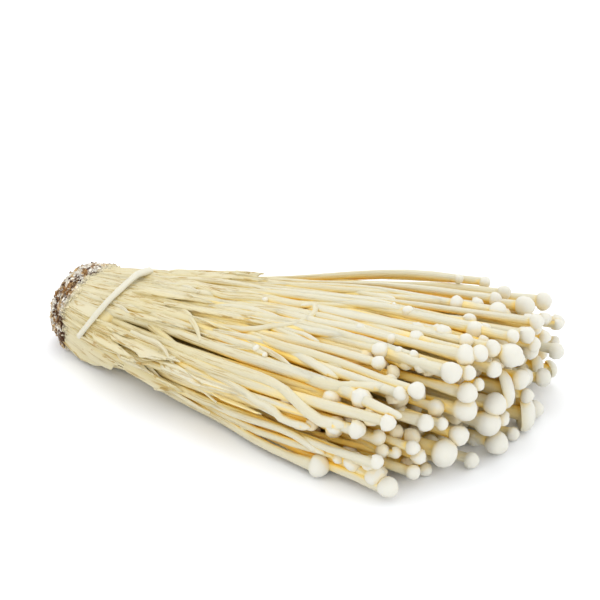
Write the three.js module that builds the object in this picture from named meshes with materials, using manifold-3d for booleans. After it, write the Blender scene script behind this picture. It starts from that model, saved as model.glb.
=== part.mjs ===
// A bunch of enoki mushrooms lying on its side on a table, in millimetres, +Z up.
// The long axis is X: the brown cut base is at -X, and the stems fan out to their caps at +X.
// The origin is under the middle of the bunch, on the table.
import * as THREE from "three";
import { mergeVertices } from "three/addons/utils/BufferGeometryUtils.js";
import Module from "manifold-3d";

const wasm = await Module();
wasm.setup();

// Driving dimensions of the whole bunch.
const ROOT_X = -83;
const CRUST_DEPTH = 7.6;
const END_SLANT = 1.5;
const END_HOLLOW = 0.5;
const GAP = 0.3;
const ROOT_HALF_WIDTH = 14.5;
const ROOT_TOP = 26.5;
const ROOT_MIDDLE = 13;
const ROOT_SINK = 1.45;
const HEAD_TOP = 36;
const HEAD_MIDDLE = 14;
const STEM_RUN = 163;
const RISING_SHARE = 0.7;
const NEAR_SPREAD = 39;
const NEAR_SPREAD_POWER = 0.65;
const FAR_SPREAD = 36;
const NEAR_SHORTENING = 0.1;
const FAR_LENGTHENING = 0.02;
const ROOT_FLATNESS = 2.3;
const HEAD_FLATNESS = 3.6;
// Brings the middle of the finished bunch over the origin.
const SHIFT = new THREE.Vector3(1.973, -2.563, 0);

// The crevice that parts the near clump of stems from the rest, as an angle round the section.
const CREVICE = THREE.MathUtils.degToRad(147);
const CREVICE_REACH = THREE.MathUtils.degToRad(34);
const CREVICE_OPENING = THREE.MathUtils.degToRad(6);

// The mushrooms stand in shells round the section, each shell even and staggered along the run.
const SEED = 4211;
const SHELLS = [
  { rho: 1, count: 36, starts: 1 },
  { rho: 0.72, count: 17, starts: 60 },
  { rho: 0.4, count: 6, starts: 80 },
];
const SIDES = 5;
const STEM_STEPS = 5;
const LONG_STEPS = 7;
const STEM_RADIUS = 1.5;
const ROOT_SHARE = 0.75;
const CAP_RADIUS = 2.9;
const BUD_RADIUS = 1.7;
const GOLDEN = 0.618034;
// The bunch rests on its root and on the heads that are marked with z 0. The rest keeps off the table.
const TABLE_CLEARANCE = 0.8;
const LOWEST_SIDE = Math.cos(Math.PI / SIDES);

// The grown-together mass inside the stems.
const CORE_RUN = 106;
const CORE_SIDES = 30;
const CORE_STEPS = 9;
const CORE_ROOT_SHARE = 0.96;
const CORE_BODY_SHARE = 0.86;
const CORE_TIP_SHARE = 0.42;

const smooth = THREE.MathUtils.smoothstep;
const lerp = THREE.MathUtils.lerp;

// A repeatable stream of draws from 0 to 1, one stream for each mushroom.
function drawsOf(seed) {
  let state = seed >>> 0;
  return () => {
    state = (state + 0x6d2b79f5) >>> 0;
    let t = state;
    t = Math.imul(t ^ (t >>> 15), t | 1);
    t ^= t + Math.imul(t ^ (t >>> 7), t | 61);
    return ((t ^ (t >>> 14)) >>> 0) / 4294967296;
  };
}

// How far the section's lower half is squared off against the table at p across.
function flattening(p, share) {
  const across = Math.min(Math.abs(p), 0.995);
  const power = lerp(ROOT_FLATNESS, HEAD_FLATNESS, smooth(share, 0, 0.3));
  return (1 - across ** power) ** (1 / power) / Math.sqrt(1 - across ** 2);
}

// Opens the crevice by turning what is beside it away, most at mid-length.
function parted(angle, share) {
  const away = Math.atan2(Math.sin(angle - CREVICE), Math.cos(angle - CREVICE));
  const open = Math.sin(Math.PI * Math.min(1, 0.12 + share)) * CREVICE_OPENING;
  return angle + Math.sign(away || 1) * open * Math.exp(-Math.abs(away) / CREVICE_REACH);
}

// How far the fan has spread at a share of the run, at p across.
function spreadAt(p, share) {
  if (p > 0) return FAR_SPREAD * share * p;
  const start = 0.02;
  const grown = (share + start) ** NEAR_SPREAD_POWER - start ** NEAR_SPREAD_POWER;
  return NEAR_SPREAD * grown * p;
}

// The section's middle, top and low heights at a share of the run.
function levelsAt(share) {
  const middle = lerp(ROOT_MIDDLE, HEAD_MIDDLE, share);
  const top = lerp(ROOT_TOP, HEAD_TOP, Math.min(1, share / RISING_SHARE)) - STEM_RADIUS;
  const low = lerp(-ROOT_SINK, STEM_RADIUS, smooth(share, 0.1, 0.25));
  return { middle, top, low };
}

// A place in the bunch: rho and angle in the section's unit disc, and run along the stems.
function placeInBunch(rho, angle, run) {
  const share = run / STEM_RUN;
  const turned = parted(angle, share);
  const p = rho * Math.cos(turned);
  const q = rho * Math.sin(turned);
  const { middle, top, low } = levelsAt(share);
  const rise = q > 0 ? (top - middle) * q : (middle - low) * q * flattening(p, share);
  const spread = spreadAt(p, share);
  const height = Math.max(0, middle + rise);
  const end = (END_SLANT * (height - middle)) / ROOT_MIDDLE + END_HOLLOW * (1 - p ** 2);
  const ahead = Math.sqrt(Math.max(0, run ** 2 - spread ** 2)) + end * (1 - smooth(run, 0, 45));
  return new THREE.Vector3(ROOT_X + ahead, ROOT_HALF_WIDTH * p + spread, height);
}

// The full run of a stem at p across: the near side of the fan is shorter.
function fullRun(p) {
  return STEM_RUN * (1 + (p < 0 ? NEAR_SHORTENING : FAR_LENGTHENING) * p);
}

// One mushroom of a shell, by its number round the shell.
function mushroom(shell, number) {
  const draw = drawsOf(SEED + number * 7919 + shell.count * 104729);
  const angle = (2 * Math.PI * (number + 0.5 + lerp(-0.22, 0.22, draw()))) / shell.count;
  const p = shell.rho * Math.cos(angle);
  const stagger = ((number + 1) * GOLDEN) % 1;
  const isShort = shell.rho === 1 && number % 7 === 3 && Math.sin(angle) > -0.4;
  const reach = isShort ? lerp(0.52, 0.8, stagger) : lerp(0.85, 1, stagger);
  const run = fullRun(p) * reach;
  const stemRadius = STEM_RADIUS * (isShort ? lerp(0.6, 0.8, draw()) : lerp(0.85, 1.2, draw()));
  const capRadius = isShort ? BUD_RADIUS * lerp(0.8, 1.2, draw()) : CAP_RADIUS * lerp(0.75, 1.15, draw());
  const swing = { across: lerp(0.9, 1.5, draw()), up: lerp(0.5, 0.9, draw()), phase: 2 * angle + draw() };
  const stray = { across: lerp(-1.6, 1.6, draw()), up: lerp(-0.9, 1.2, draw()) };
  const tilt = { across: lerp(-0.5, 0.5, draw()), up: lerp(-0.4, 0.5, draw()) };
  const at = (t) => {
    const point = placeInBunch(shell.rho, angle, lerp(shell.starts, run, t));
    const share = lerp(shell.starts, run, t) / run;
    const loose = smooth(share, 0.1, 0.8);
    const turn = 2 * Math.PI * 1.15 * share + swing.phase;
    point.y += loose * (swing.across * Math.sin(turn) + stray.across * share);
    point.z += loose * (swing.up * Math.cos(turn) + stray.up * share);
    return point;
  };
  return { at, stemRadius, capRadius, tilt };
}

// Torn stems that lie on the bunch: thickness, and marks of angle, run and height off the surface.
const TORN_STEMS = [
  {
    radius: 1.7,
    marks: [[148, 43, -1.5], [146, 90, 0.6], [147, 106, 1.4], [155, 120, 1.2], [161, 129, 0.4]],
  },
  { radius: 1.4, marks: [[150, 63, -2], [147, 98, -0.6], [141, 134, 1.3], [148, 148, 0.4]] },
  { radius: 1.4, marks: [[150, 73, -2.4], [151, 110, 0], [147, 128, 0.8], [138, 137, 0.8]] },
  { radius: 1.1, marks: [[210, 23, -0.4], [208, 63, -0.2], [206, 108, 0], [203, 125, 0]] },
];

// The mushrooms whose caps stand out: the middle of each cap and its radius.
const HEADS = [
  { x: 71, y: -27, z: 9, cap: 4 },
  { x: 62, y: -46, z: 4, cap: 2.8 },
  { x: 57, y: -44, z: 6, cap: 2.8 },
  { x: 50, y: -43, z: 8, cap: 2.8 },
  { x: 39, y: -45, z: 0, cap: 3.2 },
  { x: 83, y: 12, z: 5, cap: 4.2 },
  { x: 81, y: 0, z: 19, cap: 4 },
  { x: 77, y: -11, z: 13, cap: 3.6 },
  { x: 73, y: -20, z: 20, cap: 3.4 },
  { x: 80, y: -3, z: 33, cap: 3.3 },
  { x: 70, y: -23, z: 33, cap: 2.9 },
  { x: 71, y: 51, z: 27, cap: 2.9 },
  { x: 51, y: 48, z: 31, cap: 2 },
  { x: 76, y: 39, z: 9, cap: 3.2 },
  { x: 72, y: 46, z: 0, cap: 2.7 },
  { x: 67, y: 2, z: 36, cap: 2.8 },
];

// A torn stem runs from the root through its marks.
function tornStem(row) {
  const rooted = [row.marks[0][0], 1, -1.2];
  const points = [rooted, ...row.marks].map(([degrees, run, off]) => {
    const angle = THREE.MathUtils.degToRad(degrees);
    const point = placeInBunch(1, angle, run);
    const out = point.clone().sub(placeInBunch(0, angle, run)).setX(0).normalize();
    return point.addScaledVector(out, off);
  });
  const curve = new THREE.CatmullRomCurve3(points, false, "centripetal");
  return { at: (t) => curve.getPoint(t), stemRadius: row.radius, capRadius: 0, tilt: { across: 0, up: 0 } };
}

// A headed mushroom grows from the root along the bunch and ends in its own place.
function headedMushroom(row) {
  const run = Math.hypot(row.x - ROOT_X, row.y);
  const share = run / STEM_RUN;
  const { middle, top, low } = levelsAt(share);
  const height = row.z || LOWEST_SIDE * row.cap;
  const side = Math.sign(row.y) || 1;
  const p = (0.97 * row.y) / (ROOT_HALF_WIDTH + Math.abs(spreadAt(side, share)));
  const deep = (middle - low) * flattening(p, share);
  const q = (height - middle) / (height > middle ? top - middle : deep);
  const rho = Math.min(1, Math.hypot(p, q));
  const angle = Math.atan2(q, p);
  const neck = new THREE.Vector3(row.x - 0.6 * row.cap, row.y, height);
  const pull = neck.sub(placeInBunch(rho, angle, run));
  const at = (t) => placeInBunch(rho, angle, Math.max(1, t * run)).addScaledVector(pull, smooth(t, 0.3, 1));
  const stemRadius = lerp(1.2, 1.75, row.cap / 4);
  return { at, stemRadius, capRadius: row.cap, tilt: { across: 0, up: 0 }, rests: row.z === 0 };
}

// The outline of a straight mushroom of unit steps: radius against height, from root to crown.
// Heights up to 1 are shares of the stem, and what is above 1 is the cap, in millimetres past the neck.
function mushroomOutline(item, steps) {
  const { stemRadius, capRadius } = item;
  const outline = [new THREE.Vector2(0, 0)];
  for (let step = 0; step <= steps; step++) {
    const share = step / steps;
    const width = lerp(ROOT_SHARE, 1, smooth(share, 0, 0.45));
    outline.push(new THREE.Vector2(stemRadius * width, share));
  }
  if (capRadius) {
    outline.push(new THREE.Vector2(capRadius, 1 + 0.35 * capRadius));
    outline.push(new THREE.Vector2(0.74 * capRadius, 1 + 1.15 * capRadius));
    outline.push(new THREE.Vector2(0, 1 + 1.5 * capRadius));
  } else {
    outline.push(new THREE.Vector2(0, 1));
  }
  return outline;
}

// Keeps a stem off the table, and a cap too unless the bunch rests on it.
function lifted(point, item, t) {
  const atHead = smooth(t, 0.8, 1);
  const own = lerp(item.stemRadius, Math.max(item.capRadius, item.stemRadius), atHead);
  const clearance = item.rests ? lerp(TABLE_CLEARANCE, 0, atHead) : TABLE_CLEARANCE;
  return point.setZ(Math.max(point.z, LOWEST_SIDE * own + clearance));
}

// Bends a lathed mushroom along its route through the bunch.
function bentMushroom(item, steps = STEM_STEPS) {
  const lathed = new THREE.LatheGeometry(mushroomOutline(item, steps), SIDES);
  const position = lathed.getAttribute("position");
  const ahead = 0.01;
  for (let i = 0; i < position.count; i++) {
    const height = position.getY(i);
    const t = Math.min(height, 1);
    const past = Math.max(0, height - 1);
    const centre = lifted(item.at(t), item, t);
    const before = lifted(item.at(Math.max(0, t - ahead)), item, t);
    const after = lifted(item.at(Math.min(1, t + ahead)), item, t);
    const forward = after.sub(before).normalize();
    if (item.rests && height > 1) forward.setZ(0).normalize();
    if (height > 1 - 0.001) forward.add(new THREE.Vector3(0, item.tilt.across, item.tilt.up)).normalize();
    const side = new THREE.Vector3(0, 0, 1).cross(forward).normalize();
    const up = forward.clone().cross(side);
    centre.addScaledVector(forward, past);
    centre.addScaledVector(side, position.getX(i)).addScaledVector(up, position.getZ(i));
    position.setXYZ(i, centre.x, centre.y, Math.max(centre.z, item.rests ? 0 : TABLE_CLEARANCE));
  }
  return lathed;
}

// The mass inside the stems: a closed cylinder mapped into the bunch, thinner towards its tip.
function coreGeometry() {
  const outline = [new THREE.Vector2(0, 0)];
  for (let step = 0; step <= CORE_STEPS; step++) outline.push(new THREE.Vector2(1, step / CORE_STEPS));
  outline.push(new THREE.Vector2(0, 1));
  const lathed = new THREE.LatheGeometry(outline, CORE_SIDES);
  const position = lathed.getAttribute("position");
  for (let i = 0; i < position.count; i++) {
    const share = position.getY(i);
    const around = Math.atan2(position.getZ(i), position.getX(i));
    const body = lerp(CORE_ROOT_SHARE, CORE_BODY_SHARE, smooth(share, 0.1, 0.42));
    const width = lerp(body, CORE_TIP_SHARE, smooth(share, 0.5, 1));
    const off = Math.atan2(Math.sin(around - CREVICE), Math.cos(around - CREVICE));
    const groove = 1 - 0.3 * smooth(share, 0.05, 0.4) * Math.exp(-((off / 0.17) ** 2));
    const onAxis = Math.hypot(position.getX(i), position.getZ(i)) < 1e-6;
    const point = placeInBunch(onAxis ? 0 : width * groove, around, share * CORE_RUN);
    const lowest = lerp(0, 3, smooth(share, 0.25, 0.6));
    position.setXYZ(i, point.x, point.y, Math.max(point.z, lowest));
  }
  return lathed;
}

// The crust: what is left of the growing block, a lumpy dome over the cut base.
const CRUST_RINGS = 10;
const CRUST_SIDES = 44;
const CRUST_LUMP = 0.9;
const CRUST_SPREAD = 1.035;
const CRUST_LOWEST = 0.8;
function crustGeometry() {
  const outline = [new THREE.Vector2(0, 0), new THREE.Vector2(0.93, 0), new THREE.Vector2(1.0, 0.22)];
  for (let ring = 0; ring <= CRUST_RINGS; ring++) {
    const turn = (ring / CRUST_RINGS) * (Math.PI / 2);
    outline.push(new THREE.Vector2(Math.cos(turn) ** 0.62, 0.42 + 0.46 * Math.sin(turn)));
  }
  const lathed = new THREE.LatheGeometry(outline, CRUST_SIDES);
  const position = lathed.getAttribute("position");
  for (let i = 0; i < position.count; i++) {
    const radius = Math.hypot(position.getX(i), position.getZ(i));
    const around = Math.atan2(position.getZ(i), position.getX(i));
    const depth = position.getY(i);
    const p = radius * Math.cos(around);
    const q = radius * Math.sin(around);
    const lump = Math.sin(13 * p + 5 * q) * Math.cos(12 * q - 4 * p) + 0.6 * Math.sin(21 * p * q + 9 * p);
    const face = smooth(depth, 0.3, 0.5);
    const rho = radius < 1e-6 ? 0 : radius * CRUST_SPREAD * (1 + 0.02 * lump * face);
    const point = placeInBunch(rho, around, 0);
    point.x -= GAP + depth * CRUST_DEPTH + (radius < 0.999 ? 0.5 * CRUST_LUMP * lump * face : 0);
    position.setXYZ(i, point.x, point.y, Math.max(point.z, CRUST_LOWEST));
  }
  return lathed;
}

// The loose stem that lies across the base: over the top and down the near side.
const ACROSS_RADIUS = 1.25;
const ACROSS_CLEARANCE = 2.4;
const ACROSS_STEPS = 16;
// Its angles round the section, with none beside the crevice, which it spans.
const ACROSS_ANGLES = [80, 94, 108, 121, 134, 160, 172, 184];
function acrossGeometry() {
  const points = [];
  for (const degrees of ACROSS_ANGLES) {
    const share = (degrees - 80) / 104;
    const angle = THREE.MathUtils.degToRad(degrees);
    const run = 29 - 15 * share ** 4;
    const place = placeInBunch(1, angle, run);
    const out = place.clone().sub(placeInBunch(0, angle, run)).setX(0).normalize();
    points.push(place.addScaledVector(out, ACROSS_RADIUS + ACROSS_CLEARANCE));
  }
  const curve = new THREE.CatmullRomCurve3(points, false, "centripetal");
  const section = new THREE.Shape().absarc(0, 0, ACROSS_RADIUS, 0, 2 * Math.PI);
  return new THREE.ExtrudeGeometry(section, { steps: ACROSS_STEPS, curveSegments: 4, extrudePath: curve });
}

// Geometry to solid and back.
function solidOf(geometry) {
  const bare = geometry.index ? geometry.toNonIndexed() : geometry.clone();
  bare.deleteAttribute("normal");
  bare.deleteAttribute("uv");
  const merged = mergeVertices(bare, 1e-3);
  const made = new wasm.Manifold(
    new wasm.Mesh({
      numProp: 3,
      vertProperties: merged.getAttribute("position").array,
      triVerts: new Uint32Array(merged.index.array),
    }),
  );
  if (made.volume() > 0) return made;
  const turned = new Uint32Array(merged.index.array);
  for (let i = 0; i < turned.length; i += 3) [turned[i + 1], turned[i + 2]] = [turned[i + 2], turned[i + 1]];
  return new wasm.Manifold(
    new wasm.Mesh({ numProp: 3, vertProperties: merged.getAttribute("position").array, triVerts: turned }),
  );
}

function geometryOf(solid) {
  const mesh = solid.getMesh();
  const geometry = new THREE.BufferGeometry();
  geometry.setAttribute("position", new THREE.BufferAttribute(new Float32Array(mesh.vertProperties), 3));
  geometry.setIndex(new THREE.BufferAttribute(new Uint32Array(mesh.triVerts), 1));
  geometry.computeVertexNormals();
  return geometry;
}

// Fuses the mushrooms with the mass that they grow from.
function bunchSolid() {
  const parts = [solidOf(coreGeometry())];
  for (const shell of SHELLS) {
    for (let number = 0; number < shell.count; number++) {
      parts.push(solidOf(bentMushroom(mushroom(shell, number))));
    }
  }
  for (const row of TORN_STEMS) parts.push(solidOf(bentMushroom(tornStem(row), LONG_STEPS)));
  for (const row of HEADS) parts.push(solidOf(bentMushroom(headedMushroom(row))));
  const joined = wasm.Manifold.union(parts);
  return joined.decompose().sort((a, b) => b.volume() - a.volume())[0];
}

const group = new THREE.Group();

function addPiece(name, geometry, colour, roughness) {
  const material = new THREE.MeshStandardMaterial({ color: colour, roughness, metalness: 0 });
  const mesh = new THREE.Mesh(geometry.translate(SHIFT.x, SHIFT.y, SHIFT.z), material);
  mesh.name = name;
  group.add(mesh);
}

addPiece("mushroom_bunch", geometryOf(bunchSolid()), 0xf1e6be, 0.5);
addPiece("root_crust", geometryOf(solidOf(crustGeometry())), 0xa88a5c, 0.9);
addPiece("stem_across_base", geometryOf(solidOf(acrossGeometry())), 0xf4edcf, 0.5);

export default group;
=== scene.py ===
"""A bunch of enoki mushrooms lying on its side: stems, caps, fused root mass and crusted base."""

import math

import bpy
import numpy as np
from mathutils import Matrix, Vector, noise
from mathutils.bvhtree import BVHTree

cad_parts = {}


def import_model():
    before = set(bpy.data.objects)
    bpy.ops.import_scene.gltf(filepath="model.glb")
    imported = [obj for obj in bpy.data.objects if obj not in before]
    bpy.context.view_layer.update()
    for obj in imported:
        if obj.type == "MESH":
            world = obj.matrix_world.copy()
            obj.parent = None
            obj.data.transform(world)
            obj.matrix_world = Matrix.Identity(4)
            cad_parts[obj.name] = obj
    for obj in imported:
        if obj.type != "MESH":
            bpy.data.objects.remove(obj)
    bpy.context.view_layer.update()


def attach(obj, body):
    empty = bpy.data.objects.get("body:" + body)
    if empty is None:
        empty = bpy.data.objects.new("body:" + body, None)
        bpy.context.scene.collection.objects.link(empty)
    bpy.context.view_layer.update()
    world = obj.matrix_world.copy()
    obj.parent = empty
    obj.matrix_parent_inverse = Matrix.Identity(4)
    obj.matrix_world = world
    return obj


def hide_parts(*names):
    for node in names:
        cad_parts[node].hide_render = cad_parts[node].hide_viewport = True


MM = 0.001
SMOOTH_ANGLE = math.radians(62)

# The bunch's layout, in millimetres, as in the solids: base at -X, caps at +X.
ROOT_X = -83
END_SLANT = 1.5
END_HOLLOW = 0.5
ROOT_HALF_WIDTH = 14.5
ROOT_TOP = 26.5
ROOT_MIDDLE = 13
ROOT_SINK = 1.45
HEAD_TOP = 36
HEAD_MIDDLE = 14
HEAD_RISE = 22
STEM_RUN = 163
RISING_SHARE = 0.7
NEAR_SPREAD = 39
NEAR_SPREAD_POWER = 0.65
FAR_SPREAD = 36
NEAR_SHORTENING = 0.1
FAR_LENGTHENING = 0.02
ROOT_FLATNESS = 2.3
HEAD_FLATNESS = 3.6
SHIFT = np.array([1.973, -2.563, 0])
UNDERCUT = 0.08
UNDERCUT_ANGLE = math.radians(222)
UNDERCUT_REACH = 0.5
CAP_FULLNESS = 1.1

# The crevice that parts the near clump from the rest, and a shallow one above it.
CREVICE = math.radians(147)
CREVICE_REACH = math.radians(34)
CREVICE_OPENING = math.radians(6)
UPPER_CREVICE = math.radians(138)
CREVICE_DEPTH = 0.2
UPPER_CREVICE_DEPTH = 0.14
CREVICE_NARROW = 0.045
CREVICE_WIDE = 0.13

# The mushrooms.
SEED = 4211
STEM_RADIUS = 1.5
CAP_RADIUS = 2.9
BUD_RADIUS = 1.7
GOLDEN = 0.618034
TABLE_CLEARANCE = 0.12
SHELLS = [(1, 36, 1), (0.72, 17, 60), (0.4, 6, 80)]
FILLERS = [(1, 46, 1), (0.93, 44, 1), (0.82, 32, 20), (0.6, 20, 60), (0.3, 10, 80)]
CAP_SPACING = 0.86
SHORTER = 0.028
TRIES = 9
FINE_SIDES = 14
FINE_STEPS = 16
PLAIN_SIDES = 8
PLAIN_STEPS = 9
GRAIN_STRETCH = 0.045
CAP_DENT = 0.08

# The mushrooms whose caps stand out: along, across, up and radius of each cap, and its shape.
HEADS = [
    (51, 48, 31, 2.0, "bead"), (71, 51, 27, 2.9, "bead"), (70, 35, 31, 3.0, "egg"),
    (75, 44, 24, 2.0, "bead"), (53, 20, 34, 2.3, "bead"), (66, 21, 34, 2.6, "egg"),
    (44, 3, 36, 1.8, "bead"), (67, 2, 36, 2.8, "bead"), (76, -6, 35, 2.5, "bead"),
    (68, -8, 36, 2.0, "egg"), (71, -15, 35, 3.0, "bead"), (74, -12, 35, 2.4, "egg"),
    (80, -3, 33, 3.3, "egg"), (79, 2, 36, 2.1, "bead"), (82, 13, 30, 2.2, "bead"),
    (81, 3, 29, 2.0, "bead"), (78, -9, 30, 2.4, "bead"), (76, 39, 9, 3.2, "open"),
    (79, 45, 6, 2.6, "open"), (81, 6, 21, 2.9, "bead"), (70, -23, 33, 2.9, "egg"),
    (74, -18, 32, 2.1, "bead"), (74, -20, 26, 2.8, "egg"), (76, -15, 27, 1.8, "bead"),
    (64, -33, 30, 2.3, "egg"), (47, -15, 35, 1.5, "bead"), (52, -20, 34, 1.6, "bead"),
    (57, -20, 34, 1.6, "bead"), (81, 0, 19, 5.3, "flat"), (78, -8, 18, 3.2, "egg"),
    (73, -20, 20, 3.4, "egg"), (77, -11, 13, 3.6, "egg"), (72, 46, 2.8, 2.7, "bead"),
    (82, 11, 13, 2.2, "bead"), (83, 12, 5.6, 4.9, "open"), (79, -6, 4, 3.3, "egg"),
    (80, -4, 11, 2.0, "bead"), (71, -27, 9, 4.0, "bead"), (73, -22, 13, 2.8, "egg"),
    (70, -27, 18, 1.8, "bead"), (65, -36, 13, 2.0, "egg"), (57, -44, 6, 2.8, "egg"),
    (62, -46, 4, 2.8, "egg"), (50, -43, 8, 2.8, "bead"), (44, 42, 33, 1.6, "bead"),
    (59, 44, 30, 2.2, "egg"), (62, 30, 34, 2.2, "bead"), (39, -45, 3.3, 3.2, "bead"),
    (38, 5, 36, 0.9, "bead"), (8, -29, 28, 1.1, "bead"), (-3, -6, 33, 1.0, "bead"),
]

# Torn stems that lie on the bunch: thickness, and marks of angle, run and height off the surface.
TORN_STEMS = [
    (1.7, [
        (148, 43, -1.5), (148, 73, -0.5), (148, 90, 0.9), (148, 101, 1.7), (150, 109, 2.4),
        (156, 117, 2.6), (163, 125, 2.3), (163, 131, 1.6),
    ]),
    (1.4, [
        (139, 60, -1.5), (135, 80, 0.2), (132, 94, 0.9), (134, 106, 1.2), (137, 115, 1.2),
        (139, 121, 0.8),
    ]),
    (1.5, [
        (146, 98, -1.5), (145, 118, 0.6), (144, 127, 2), (144, 133, 2.4), (145, 139, 2.3),
        (146, 146, 1.6),
    ]),
    (1.4, [
        (146, 92, -1.5), (146, 110, 0.4), (146, 119, 1.8), (144, 126, 2.4), (140, 131, 2.4),
        (136, 137, 2),
    ]),
    (1.2, [
        (160, 75, -1), (162, 95, 1.4), (166, 103, 2), (167, 108, 1.8), (173, 113, 2), (173, 120, 1.3),
    ]),
    (1.0, [(146, 70, -0.8), (144, 83, 0.8), (141, 88, 1.2), (140, 93, 0.8)]),
    (0.9, [(121, 80, -0.6), (119, 94, 0.8), (120, 100, 1.1), (120, 104, 0.9), (122, 108, 0.5)]),
    (0.95, [
        (130, 66, -1), (126, 85, 1), (120, 91, 1.5), (116, 97, 1.7), (111, 100, 1.9), (106, 101, 2),
        (101, 100, 2), (98, 98, 2), (99, 96, 2.1),
    ]),
    (1.3, [(147, 40, -1.8), (147, 70, -2.2), (147, 100, -2), (147, 125, -1.8)]),
    (1.2, [(146.9, 52, -2.4), (146.9, 80, -2.8), (146.9, 112, -2.6)]),
    (1.1, [(210, 23, -0.4), (208, 63, -0.2), (206, 108, 0), (203, 125, 0)]),
    (1.3, [(160, 53, -1), (166, 83, 0.3), (170, 103, 0.7), (176, 118, 0.2)]),
    (1.2, [(186, 63, -1), (184, 93, 0.4), (182, 115, 0.8), (186, 125, 0.6)]),
    (1.3, [(60, 53, -1), (64, 93, 0.5), (72, 115, 0.6)]),
    (1.2, [(30, 63, -1), (26, 103, 0.6), (22, 131, 0.4)]),
    (1.2, [(112, 53, -1), (118, 83, 0.3), (124, 103, 0.5), (127, 112, 0)]),
    (1.1, [(98, 63, -1), (92, 98, 0.4), (84, 118, 0.2)]),
]

# Outlines of caps and of a torn tip: radius, and height past the neck, both in cap radii.
BEAD = [(0.82, 0.12), (0.97, 0.38), (1, 0.66), (0.9, 1.02), (0.66, 1.32), (0.34, 1.5), (0.1, 1.55)]
EGG = [(0.76, 0.14), (0.93, 0.46), (1, 0.86), (0.92, 1.26), (0.7, 1.58), (0.38, 1.78), (0.1, 1.84)]
OPEN = [(0.8, -0.06), (1.02, -0.1), (1.08, 0.1), (1, 0.42), (0.74, 0.68), (0.4, 0.84), (0.1, 0.88)]
FLAT = [
    (0.45, 0.12), (0.8, 0.02), (0.97, -0.1), (1.06, -0.04), (1.03, 0.16), (0.85, 0.42), (0.5, 0.6),
    (0.12, 0.66),
]
TORN_TIP = [(0.9, 0.7), (0.66, 1.6), (0.34, 2.1), (0.1, 2.25)]
PLAIN = [(0.94, 0.3), (0.96, 0.84), (0.62, 1.34), (0.16, 1.54)]

# How far a wide cap leans across and up, against its stem.
LEANS = {"open": (0.45, 0.2), "flat": (0.9, 0.3)}

# Openness of the surface to the sky, felt by short rays.
FEELERS = 20
FEEL_REACH = 26
FEEL_START = 0.12
FEEL_POWER = 0.8
BURIED_SHARE = 0.4
BURIED_OPENNESS = 0.46
LOWEST_OPENNESS = [0, 0, 0.55, 0.7, 0.8]

# Camera and light.
CAMERA_AZIMUTH = math.radians(30)
CAMERA_ELEVATION = math.radians(24)
CAMERA_DISTANCE = 480
CAMERA_TARGET = np.array([-13.5, 35, 15])
CAMERA_LENS = 80.6
SENSOR_WIDTH = 36
FLOOR_SIZE = 8
WORLD_COLOUR = (0.965, 0.98, 1, 1)
WORLD_STRENGTH = 1.25
LIGHT_SIZE = 0.9
KEY_POWER = 1.8
FILL_POWER = 1.2


def blend(low, high, share):
    return low + (high - low) * share


def smooth(value, low, high):
    share = np.clip((np.asarray(value, float) - low) / (high - low), 0, 1)
    return share * share * (3 - 2 * share)


def unit(vectors):
    return vectors / np.maximum(np.linalg.norm(vectors, axis=-1, keepdims=True), 1e-9)


def turned_from(start, angle):
    """The shortest turn from one angle to another."""
    return np.arctan2(np.sin(angle - start), np.cos(angle - start))


def draws_of(seed):
    """A repeatable stream of draws from 0 to 1."""
    state = seed & 0xFFFFFFFF
    while True:
        state = (state + 0x6D2B79F5) & 0xFFFFFFFF
        mixed = ((state ^ (state >> 15)) * (state | 1)) & 0xFFFFFFFF
        step = ((mixed ^ (mixed >> 7)) * (mixed | 61)) & 0xFFFFFFFF
        mixed ^= (mixed + step) & 0xFFFFFFFF
        yield ((mixed ^ (mixed >> 14)) & 0xFFFFFFFF) / 4294967296


# Places in the bunch.
def flattening(across, share):
    """How far the section's lower half is squared off against the table."""
    held = np.minimum(np.abs(across), 0.995)
    power = blend(ROOT_FLATNESS, HEAD_FLATNESS, smooth(share, 0, 0.3))
    return (1 - held**power) ** (1 / power) / np.sqrt(1 - held**2)


def parted(angle, share):
    away = turned_from(CREVICE, angle)
    opened = np.sin(np.pi * np.minimum(1, 0.12 + share)) * CREVICE_OPENING
    side = np.where(away < 0, -1, 1)
    return angle + side * opened * np.exp(-np.abs(away) / CREVICE_REACH)


def spread_at(across, share):
    """How far the fan has spread at a share of the run."""
    start = 0.02
    grown = (share + start) ** NEAR_SPREAD_POWER - start**NEAR_SPREAD_POWER
    return np.where(across > 0, FAR_SPREAD * share * across, NEAR_SPREAD * grown * across)


def levels_at(share):
    """The section's middle, top and low heights at a share of the run."""
    middle = blend(ROOT_MIDDLE, HEAD_MIDDLE, share)
    top = blend(ROOT_TOP, HEAD_TOP, np.minimum(1, share / RISING_SHARE)) - STEM_RADIUS
    low = blend(-ROOT_SINK, STEM_RADIUS, smooth(share, 0.1, 0.25))
    return middle, top, low


def undercut(angle, run):
    """How far the root's near low side draws in, as a share of the section."""
    away = turned_from(UNDERCUT_ANGLE, angle)
    along = smooth(run, 4, 22) * (1 - smooth(run, 45, 80))
    return UNDERCUT * along * np.exp(-((away / UNDERCUT_REACH) ** 2))


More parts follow.
